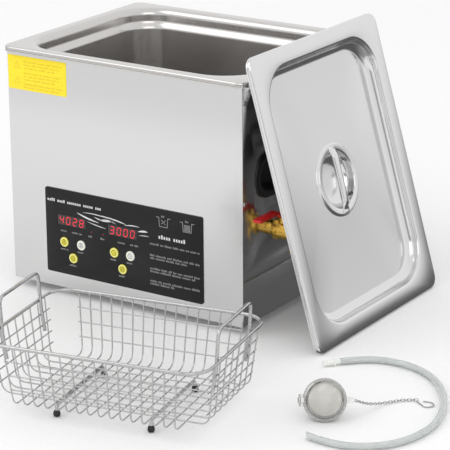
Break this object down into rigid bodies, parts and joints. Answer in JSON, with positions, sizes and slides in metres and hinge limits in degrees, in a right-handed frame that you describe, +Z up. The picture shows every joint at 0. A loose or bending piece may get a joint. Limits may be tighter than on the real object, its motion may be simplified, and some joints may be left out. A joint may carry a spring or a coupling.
{
  "type": "ultrasonic cleaner",
  "caption": "Bench ultrasonic cleaner: rectangular stainless tank in a boxy case with a front control panel, a lift-off lid leaning on its side, a wire basket, a drain hose and a mesh ball.",
  "frame": {"origin": "middle of the machine's footprint on the bench, under the tank", "axes": "+Z up, -Y out of the front with the control panel, +X to the machine's right hand side as seen from the front"},
  "size_m": [0.6157, 0.5825, 0.3143],
  "materials": {
    "tank_steel": "satin drawn stainless",
    "case_steel": "brushed stainless sheet",
    "lid_steel": "polished stainless sheet",
    "black_plastic": "moulded black plastic",
    "fascia": "printed gloss black film",
    "display_glass": "dark red filter window",
    "lamp_red": "small red lamps",
    "button_yellow": "domed yellow key",
    "button_white": "domed white key",
    "label_yellow": "yellow vinyl sticker",
    "rubber": "black rubber",
    "screw_steel": "plated screws",
    "board_green": "glass fibre board",
    "aluminium": "machined aluminium",
    "ceramic": "piezo ceramic",
    "brass": "plated brass",
    "mass_steel": "turned steel",
    "silicone": "silicone heater mat",
    "sensor": "sensor shell",
    "transformer": "ferrite and copper",
    "capacitor_film": "sleeved capacitors",
    "wire_blue": "insulated wire",
    "valve_brass": "bare yellow brass",
    "lever_red": "red dipped lever",
    "rocker": "black rocker",
    "basket_wire": "electropolished stainless wire",
    "hose_clear": "clear PVC hose",
    "fitting_white": "white plastic fitting",
    "ball_steel": "stainless mesh and ring"
  },
  "bodies": {
    "casing": {"tank_pan": "tank_steel", "front_panel": "case_steel", "rear_panel": "case_steel", "left_side_panel": "case_steel", "right_side_panel": "case_steel", "base_tray": "case_steel", "handle_cups": "black_plastic", "mains_inlet": "black_plastic", "switch_frame": "black_plastic", "fan_frame": "black_plastic", "control_fascia": "fascia", "display_modules": "display_glass", "indicator_lamps": "lamp_red", "front_label": "label_yellow", "rubber_feet": "rubber", "rim_gasket": "rubber", "case_screws": "screw_steel", "generator_board": "board_green", "display_board": "board_green", "transducer_front_masses": "aluminium", "heat_sink": "aluminium", "board_standoffs": "aluminium", "piezo_rings": "ceramic", "transducer_electrodes": "brass", "transducer_back_masses": "mass_steel", "transducer_bolts": "mass_steel", "heater_pads": "silicone", "temperature_sensor": "sensor", "output_transformer": "transformer", "capacitors": "capacitor_film", "mains_wires": "wire_blue", "drain_pipe": "valve_brass", "valve_body": "valve_brass"},
    "lid": {"lid_sheet": "lid_steel", "lid_strap_handle": "lid_steel"},
    "basket": {"basket_rim_wire": "basket_wire", "basket_front_mesh": "basket_wire", "basket_rear_mesh": "basket_wire", "basket_left_mesh": "basket_wire", "basket_right_mesh": "basket_wire", "basket_floor_mesh": "basket_wire", "basket_left_handle": "basket_wire", "basket_right_handle": "basket_wire", "basket_foot_rods": "basket_wire", "basket_foot_caps": "rubber"},
    "hose": {"drain_hose": "hose_clear", "hose_fitting": "fitting_white"},
    "strainer": {"strainer_rear_half": "ball_steel", "strainer_chain": "ball_steel"},
    "strainer_door": {"strainer_front_half": "ball_steel"},
    "valve_turn": {"valve_lever": "lever_red", "valve_ball": "valve_brass"},
    "rocker": {"switch_rocker": "rocker"},
    "fan_wheel": {"fan_rotor": "black_plastic"},
    "temp_up_button": {"temp_up_button": "button_yellow"},
    "temp_down_button": {"temp_down_button": "button_white"},
    "heat_power_button": {"heat_power_button": "button_yellow"},
    "time_up_button": {"time_up_button": "button_yellow"},
    "time_down_button": {"time_down_button": "button_white"},
    "sonic_power_button": {"sonic_power_button": "button_yellow"}
  },
  "joints": [
    {"name": "lid_lift", "type": "slide", "parent": "casing", "child": "lid", "axis": [0, 0, 1], "range_m": [0, 0.35]},
    {"name": "basket_lift", "type": "slide", "parent": "casing", "child": "basket", "axis": [0, 0, 1], "range_m": [0, 0.3]},
    {"name": "hose_lift", "type": "slide", "parent": "casing", "child": "hose", "axis": [0, 0, 1], "range_m": [0, 0.2]},
    {"name": "strainer_lift", "type": "slide", "parent": "casing", "child": "strainer", "axis": [0, 0, 1], "range_m": [0, 0.2]},
    {"name": "strainer_hinge", "type": "hinge", "parent": "strainer", "child": "strainer_door", "pos_m": [0.32493, -0.28376, 0.01947], "axis": [0.2584, -0.3919, -0.8829], "range_deg": [0, 100]},
    {"name": "valve_lever_turn", "type": "hinge", "parent": "casing", "child": "valve_turn", "pos_m": [0.1775, -0.074, 0.112], "axis": [0, 0, 1], "range_deg": [0, 20]},
    {"name": "rocker_tilt", "type": "hinge", "parent": "casing", "child": "rocker", "pos_m": [0.112, 0.1245, 0.092], "axis": [1, 0, 0], "range_deg": [0, 14]},
    {"name": "fan_spin", "type": "hinge", "parent": "casing", "child": "fan_wheel", "pos_m": [0.02, 0.1175, 0.074], "axis": [0, 1, 0], "continuous": true},
    {"name": "temp_up_press", "type": "slide", "parent": "casing", "child": "temp_up_button", "axis": [0, 1, 0], "range_m": [0, 0.0006], "stiffness_N_per_m": 600},
    {"name": "temp_down_press", "type": "slide", "parent": "casing", "child": "temp_down_button", "axis": [0, 1, 0], "range_m": [0, 0.0006], "stiffness_N_per_m": 600},
    {"name": "heat_power_press", "type": "slide", "parent": "casing", "child": "heat_power_button", "axis": [0, 1, 0], "range_m": [0, 0.0006], "stiffness_N_per_m": 600},
    {"name": "time_up_press", "type": "slide", "parent": "casing", "child": "time_up_button", "axis": [0, 1, 0], "range_m": [0, 0.0006], "stiffness_N_per_m": 600},
    {"name": "time_down_press", "type": "slide", "parent": "casing", "child": "time_down_button", "axis": [0, 1, 0], "range_m": [0, 0.0006], "stiffness_N_per_m": 600},
    {"name": "sonic_power_press", "type": "slide", "parent": "casing", "child": "sonic_power_button", "axis": [0, 1, 0], "range_m": [0, 0.0006], "stiffness_N_per_m": 600}
  ]
}
